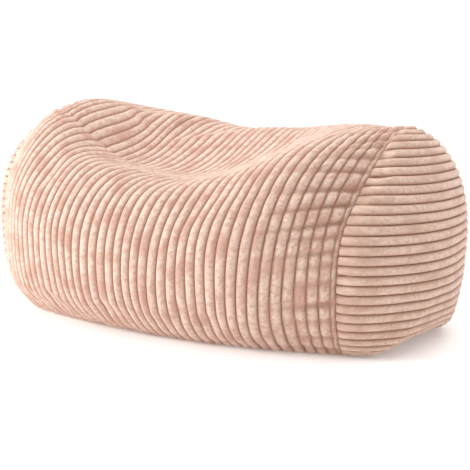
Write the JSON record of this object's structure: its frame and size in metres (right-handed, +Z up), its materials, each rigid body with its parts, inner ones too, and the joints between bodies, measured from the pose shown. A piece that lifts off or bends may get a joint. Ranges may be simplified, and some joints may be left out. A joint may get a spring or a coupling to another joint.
{
  "type": "giant bean bag",
  "caption": "Long filled bolster in wide-rib plush, with a seat pressed into its top and a domed panel on each end.",
  "frame": {"origin": "on the floor, under the middle of the bag's bounding box", "axes": "+X along the length, towards the end panel named right; -Y towards the sitter's feet; +Z up"},
  "size_m": [1.543, 0.8928, 0.6262],
  "materials": {
    "body_plush": "blush pink rib plush, soft and matt",
    "end_plush": "blush pink rib plush, its ribs lying across the end"
  },
  "bodies": {
    "root": {"body_panel": "body_plush", "end_panel_right": "end_plush", "end_panel_left": "end_plush"}
  },
  "joints": []
}
